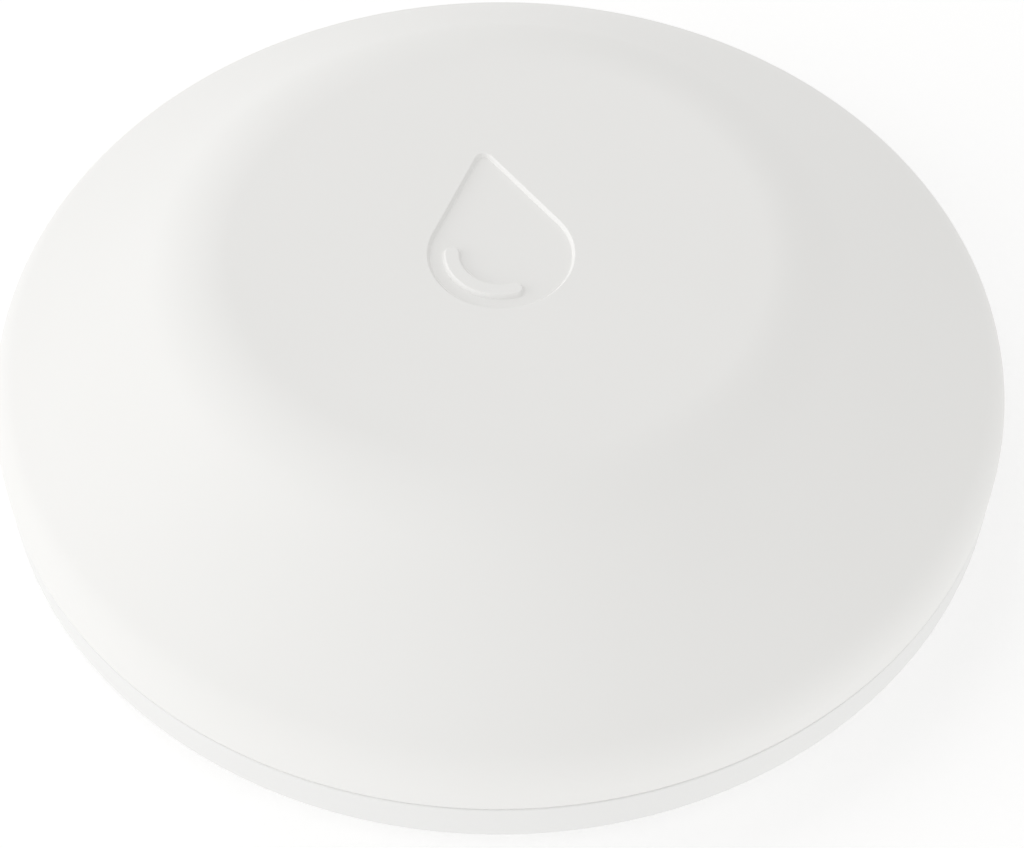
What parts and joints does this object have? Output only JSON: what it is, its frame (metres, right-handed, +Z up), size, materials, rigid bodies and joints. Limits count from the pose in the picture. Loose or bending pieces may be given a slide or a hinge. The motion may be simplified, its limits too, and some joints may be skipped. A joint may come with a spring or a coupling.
{
  "type": "water leak sensor",
  "caption": "Low round white puck that senses water on the floor, with a recessed drop symbol on its flat top, probes and feet underneath, and a battery door that unscrews by a coin slot.",
  "frame": {"origin": "on the floor, at the centre of the underside", "axes": "+Z up through the centre of the round body, +Y from the round end of the drop symbol towards its tip"},
  "size_m": [0.066, 0.066, 0.0161],
  "materials": {
    "cover_plastic": "fine satin moulded white",
    "base_plastic": "fine satin moulded white",
    "button_plastic": "satin light grey",
    "plunger_plastic": "ivory",
    "pale_silicone": "smooth pale grey silicone",
    "dark_rubber": "smooth black rubber",
    "foot_rubber": "matt grey rubber",
    "gasket_foam": "closed-cell foam",
    "probe_gold": "gold plated, bright",
    "screw_steel": "zinc plated",
    "spring_steel": "nickel plated",
    "shield_tin": "tin plated",
    "cell_steel": "satin nickel",
    "board_laminate": "green solder mask",
    "radio_laminate": "blue solder mask",
    "chip_black": "moulded epoxy",
    "capacitor_tan": "fired ceramic",
    "lamp_resin": "cast resin",
    "milky_acrylic": "milky acrylic",
    "membrane_film": "white porous film"
  },
  "bodies": {
    "housing": {"top_cover": "cover_plastic", "base": "base_plastic", "housing_seal": "pale_silicone", "cover_screws": "screw_steel", "feet": "foot_rubber", "sensing_probes": "probe_gold", "probe_seals": "dark_rubber", "probe_springs": "spring_steel", "circuit_board": "board_laminate", "board_screws": "screw_steel", "radio_module": "radio_laminate", "radio_shield": "shield_tin", "antenna": "shield_tin", "controller_chip": "chip_black", "crystal": "shield_tin", "capacitors": "capacitor_tan", "resistors": "chip_black", "status_led": "lamp_resin", "light_guide": "milky_acrylic", "buzzer": "chip_black", "buzzer_gasket": "gasket_foam", "sound_membrane": "membrane_film", "positive_contact": "spring_steel", "negative_contact": "spring_steel", "switch_body": "chip_black"},
    "button": {"setup_button": "button_plastic", "button_seal": "dark_rubber", "switch_plunger": "plunger_plastic"},
    "cell": {"coin_cell": "cell_steel"},
    "door": {"battery_door": "base_plastic", "door_seal": "pale_silicone"}
  },
  "joints": [
    {"name": "setup_button_press", "type": "slide", "parent": "housing", "child": "button", "axis": [0, 0, 1], "range_m": [0, 0.0003], "stiffness_N_per_m": 1200},
    {"name": "cell_lower", "type": "slide", "parent": "housing", "child": "cell", "axis": [0, 0, -1], "range_m": [0, 0.0034]},
    {"name": "door_turn", "type": "hinge", "parent": "cell", "child": "door", "pos_m": [0, 0, 0], "axis": [0, 0, -1], "range_deg": [0, 90]}
  ],
  "couplings": [
    {"joint": "door_turn", "follows": "cell_lower", "rad_per_m": 462}
  ]
}
